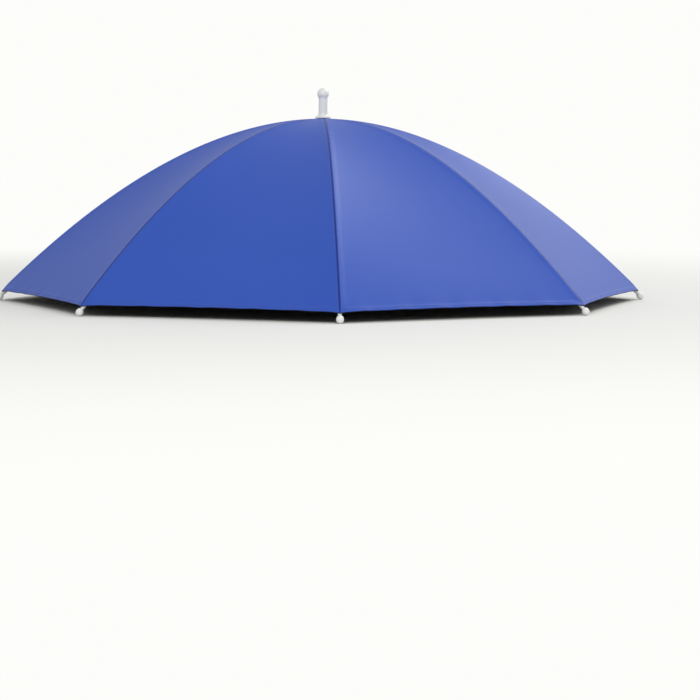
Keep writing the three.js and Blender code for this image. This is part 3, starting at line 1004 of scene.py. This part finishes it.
band_bm = bmesh.new()
first_ring = bmesh.ops.create_circle(band_bm, segments=band_segments, radius=1)["verts"]
band_cut = band_bm.loops.layers.uv.new("cut")
ring_edges = band_bm.edges[:]
shape_ring(first_ring, 0)
for row in range(1, band_rows + 1):
    grown = bmesh.ops.extrude_edge_only(band_bm, edges=ring_edges)["geom"]
    ring_edges = [item for item in grown if isinstance(item, bmesh.types.BMEdge)]
    shape_ring([item for item in grown if isinstance(item, bmesh.types.BMVert)], row)
face_outwards(band_bm)
for face in band_bm.faces:
    turns = [row_place[loop.vert][0] for loop in face.loops]
    for loop, turn in zip(face.loops, turns):
        wrapped = turn + 2 * math.pi if max(turns) - turn > math.pi else turn
        loop[band_cut].uv = (wrapped * wrap_radius, row_place[loop.vert][1] * band_height)
band = add_piece("elastic_band", band_bm, [elastic], ["headband"], 60)
band_thickness = band.modifiers.new("thickness", "SOLIDIFY")
band_thickness.thickness = 1.2 * MM
band_thickness.offset = -1
print("headband of", len(band.data.polygons), "faces")

# %% [markdown]
# Four flat plastic legs arch from the plate out and down to the band. Each is a strip swept along a curve.
# It widens towards its foot, and twists a little so that the foot lies flat on the band's side. Its edges
# are slightly raised, as on a moulded strip that has to bend without tearing.

# %% Legs
leg_azimuth = math.radians(42)
leg_azimuths = [-leg_azimuth, leg_azimuth, math.pi - leg_azimuth, leg_azimuth - math.pi]
leg_thickness = 1.6 * MM
leg_top_width = 6.5 * MM
leg_foot_width = 10 * MM
leg_steps = 60
leg_rows = [
    # share of the way up from the foot, share of the foot's distance from the middle
    (0.98, 0.5),
    (0.87, 0.83),
    (0.68, 1.02),
    (0.46, 1.09),
    (0.26, 1.07),
    (0.12, 1.01),
    (0.05, 1),
    (0, 1),
]
plate_radius = 15 * MM
plate_height = 4 * MM
plate_drop = 38 * MM
clip_clearance = 0.6 * MM
clip_top = band_height / 2 + clip_clearance + 5 * MM
clip_socket_depth = 3 * MM
leg_top = rim_height + canopy_height - plate_drop - plate_height / 2
leg_bottom = band_low + band_height / 2 + clip_top - clip_socket_depth + fit_gap


def strip_section(width, thickness):
    half = width / 2
    thick = thickness / 2
    rim = 1.1 * MM
    recess = 0.22 * MM
    corner = 0.35 * MM
    right = [
        (half - corner, -thick),
        (half, -thick + corner),
        (half, thick - corner),
        (half - corner, thick),
        (half - rim, thick),
        (half - rim - recess, thick - recess),
    ]
    left = [(-side, up) for side, up in right[::-1]]
    return right + left


def leg_frames(azimuth):
    foot = band_radius(azimuth, band_middle_line)
    line = [Vector((plate_radius - slot_depth + fit_gap, 0, leg_top))]
    line += [Vector((foot * out, 0, leg_bottom + (leg_top - leg_bottom) * up)) for up, out in leg_rows]
    twist = band_facing(azimuth) - azimuth
    frames = []
    for step in range(leg_steps + 1):
        along = step / leg_steps
        forward = spline(line, min(along + nudge, 1)) - spline(line, max(along - nudge, 0))
        lay = frame_at(spline(line, along), forward.normalized(), sideways)
        frames.append(lay @ Matrix.Rotation(twist * along * along, 4, "Z"))
    return frames


leg_sections = []
for step in range(leg_steps + 1):
    leg_width = leg_top_width + (leg_foot_width - leg_top_width) * step / leg_steps
    leg_sections.append(strip_section(leg_width, leg_thickness))
for number, azimuth in enumerate(leg_azimuths, 1):
    leg_bm = bmesh.new()
    sweep(leg_bm, leg_sections, leg_frames(azimuth))
    bmesh.ops.transform(leg_bm, matrix=spoke_turn(azimuth), verts=leg_bm.verts[:])
    leg = add_piece(f"strip_leg_{number}", leg_bm, [black_plastic], [f"leg_{number}"], 40)
print("legs down to", round(min(corner[2] for corner in leg.bound_box), 4))

# %% [markdown]
# A clip joins each leg to the band: the band runs through a loop, and the leg's foot stands in a socket
# above it. The clip is a copy of its CAD solid, turned back to face along X so that it can be cut squarely.
# Two slots are opened in its outer wall: planes are cut through it, the faces between them are taken out,
# and the two open borders are bridged. Its edges are rounded after that, so that the slots' edges are
# rounded too. A small ringed dimple is turned and added above them.

# %% Clips
ring_profile = [(0, 0.04), (0.9, 0.06), (1.45, 0.14), (1.65, 0.36), (1.95, 0.42), (2.2, 0.3)]
ring_profile += [(2.3, -0.2), (0, -0.3)]
ring_height = 2.8 * MM
clip_half_depth = band_middle_line + clip_clearance + 1.4 * MM
slot_half_width = 4.4 * MM
clip_slots = [(-5.4 * MM, -1.9 * MM), (-8.9 * MM, -7.2 * MM)]


def open_slot(bm, low, high):
    """Opens a slot through the wall that faces +X, between two heights."""
    cut_along(bm, (0, 0, 1), low)
    cut_along(bm, (0, 0, 1), high)
    taken = []
    for face in bm.faces:
        middle = face.calc_center_median()
        if middle.x > 1 * MM and abs(middle.y) < slot_half_width and low < middle.z < high:
            taken.append(face)
    bmesh.ops.delete(bm, geom=taken, context="FACES")
    borders = [edge for edge in bm.edges if edge.is_boundary]
    bmesh.ops.bridge_loops(bm, edges=borders)


ring_turn = Matrix.Translation((clip_half_depth, 0, ring_height)) @ Matrix.Rotation(math.pi / 2, 4, "Y")
for number, azimuth in enumerate(leg_azimuths, 1):
    clip_bm = merged_copy(f"clip_{number}")
    middle = band_point(azimuth, band_middle_line, band_low + band_height / 2)
    clip_place = Matrix.Translation(middle) @ spoke_turn(band_facing(azimuth))
    bmesh.ops.transform(clip_bm, matrix=clip_place.inverted(), verts=clip_bm.verts[:])
    cut_along(clip_bm, (0, 1, 0), -slot_half_width)
    cut_along(clip_bm, (0, 1, 0), slot_half_width)
    for low, high in clip_slots:
        open_slot(clip_bm, low, high)
    join_flat_faces(clip_bm)
    round_edges(clip_bm, edge_radius, 3)
    add_net(clip_bm, turned(ring_profile, 24), ring_turn)
    bmesh.ops.transform(clip_bm, matrix=clip_place, verts=clip_bm.verts[:])
    open_edges = sum(edge.is_boundary for edge in clip_bm.edges)
    clip = add_piece(f"band_clip_{number}", clip_bm, [grey_plastic], [f"clip_{number}"])
print("clips of", len(clip.data.polygons), "faces,", open_edges, "open edges")
